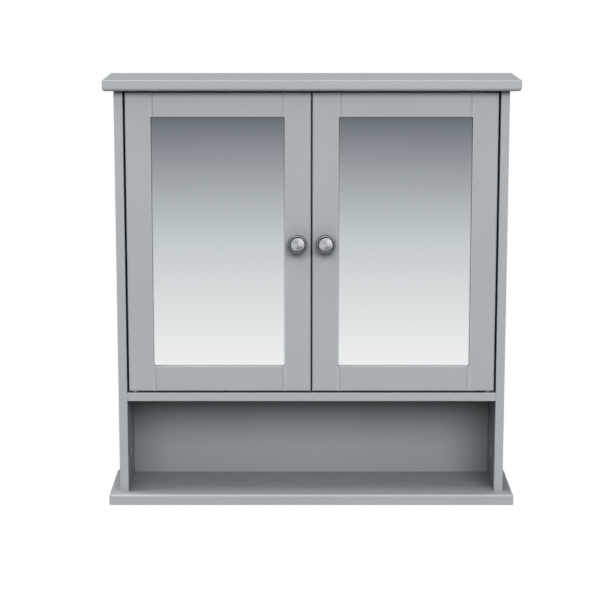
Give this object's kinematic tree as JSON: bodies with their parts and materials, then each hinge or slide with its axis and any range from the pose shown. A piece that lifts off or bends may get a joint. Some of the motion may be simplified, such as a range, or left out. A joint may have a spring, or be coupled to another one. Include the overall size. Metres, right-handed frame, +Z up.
{
  "type": "hanging wall cabinet",
  "caption": "Wall-hung cabinet with framed mirror doors on pivot pins above an open compartment, with an adjustable inner shelf and a hidden hanging rail.",
  "frame": {"origin": "midway between the wall screw holes of the hanging rail, on the plane of the wall", "axes": "+Z up, +Y into the wall, the doors face -Y, X across the cabinet with +X on the right seen from the front"},
  "size_m": [0.56, 0.1321, 0.587],
  "materials": {
    "painted_board": "satin cool grey paint on fibreboard",
    "painted_hardboard": "satin cool grey paint on hardboard",
    "brown_hardboard": "raw pressed hardboard",
    "dowel_wood": "raw beech",
    "mirror_glass": "silvered float glass",
    "brushed_knob": "brushed satin nickel",
    "zinc_steel": "zinc plated",
    "zinc_alloy": "die-cast zinc",
    "nylon": "natural nylon",
    "catch_plastic": "moulded white plastic",
    "clip_plastic": "moulded translucent plastic",
    "ferrite": "sintered ferrite"
  },
  "bodies": {
    "carcass": {"top_board": "painted_board", "bottom_board": "painted_board", "side_panel_left": "painted_board", "side_panel_right": "painted_board", "middle_shelf": "painted_board", "back_panel": "painted_hardboard", "hanging_rail": "painted_board", "wooden_dowels": "dowel_wood", "cam_bolts": "zinc_steel", "cam_locks": "zinc_alloy", "shelf_pins": "zinc_steel", "pivot_bushings": "nylon", "catch_body": "catch_plastic", "catch_magnets": "ferrite", "catch_pole_plates": "zinc_steel", "catch_screws": "zinc_steel"},
    "adjustable_shelf": {"adjustable_shelf": "painted_board"},
    "left_door": {"left_door_outer_stile": "painted_board", "left_door_inner_stile": "painted_board", "left_door_top_rail": "painted_board", "left_door_bottom_rail": "painted_board", "left_door_mirror": "mirror_glass", "left_door_backing": "brown_hardboard", "left_door_clips": "clip_plastic", "left_door_clip_screws": "zinc_steel", "left_door_knob": "brushed_knob", "left_door_knob_screw": "zinc_steel", "left_door_strike_plate": "zinc_steel", "left_door_strike_screw": "zinc_steel", "left_door_pivot_pins": "zinc_steel"},
    "right_door": {"right_door_outer_stile": "painted_board", "right_door_inner_stile": "painted_board", "right_door_top_rail": "painted_board", "right_door_bottom_rail": "painted_board", "right_door_mirror": "mirror_glass", "right_door_backing": "brown_hardboard", "right_door_clips": "clip_plastic", "right_door_clip_screws": "zinc_steel", "right_door_knob": "brushed_knob", "right_door_knob_screw": "zinc_steel", "right_door_strike_plate": "zinc_steel", "right_door_strike_screw": "zinc_steel", "right_door_pivot_pins": "zinc_steel"}
  },
  "joints": [
    {"name": "left_door_hinge", "type": "hinge", "parent": "carcass", "child": "left_door", "pos_m": [-0.2439, -0.107, 0], "axis": [0, 0, -1], "range_deg": [0, 104]},
    {"name": "right_door_hinge", "type": "hinge", "parent": "carcass", "child": "right_door", "pos_m": [0.2439, -0.107, 0], "axis": [0, 0, 1], "range_deg": [0, 104]},
    {"name": "shelf_lift", "type": "slide", "parent": "carcass", "child": "adjustable_shelf", "axis": [0, 0, 1], "range_m": [0, 0.05]}
  ]
}
